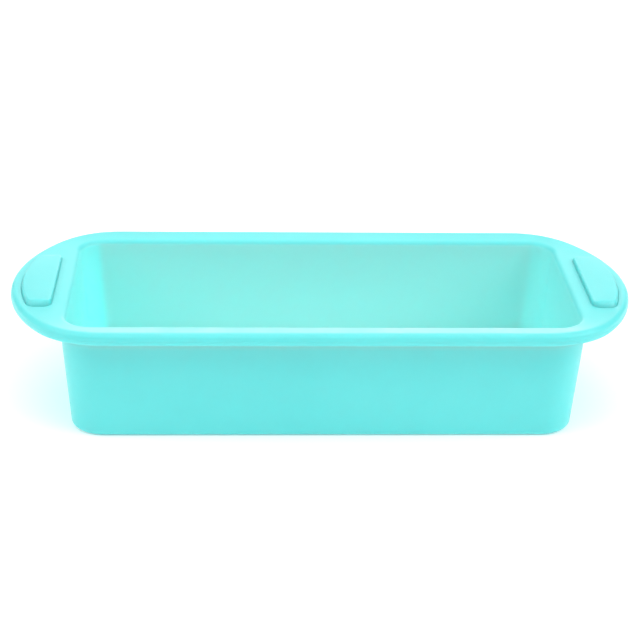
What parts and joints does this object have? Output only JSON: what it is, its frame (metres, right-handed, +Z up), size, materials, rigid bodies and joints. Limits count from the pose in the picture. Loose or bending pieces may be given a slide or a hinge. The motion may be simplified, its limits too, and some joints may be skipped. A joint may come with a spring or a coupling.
{
  "type": "silicone loaf soap mould",
  "caption": "Open rectangular silicone loaf mould for soap, with a wire-stiffened rim that widens into a padded grip at each end.",
  "frame": {"origin": "centre of the flat base, on the surface that the mould stands on", "axes": "+X along the mould's length, towards the right-hand grip; +Z up, towards the open mouth"},
  "size_m": [0.29, 0.127, 0.0584],
  "materials": {
    "body_silicone": "satin moulded silicone rubber, aqua",
    "pad_silicone": "satin moulded silicone rubber, the same aqua",
    "frame_steel": "drawn stainless wire"
  },
  "bodies": {
    "root": {"mould_body": "body_silicone", "left_grip_pad": "pad_silicone", "right_grip_pad": "pad_silicone", "rim_frame": "frame_steel"}
  },
  "joints": []
}
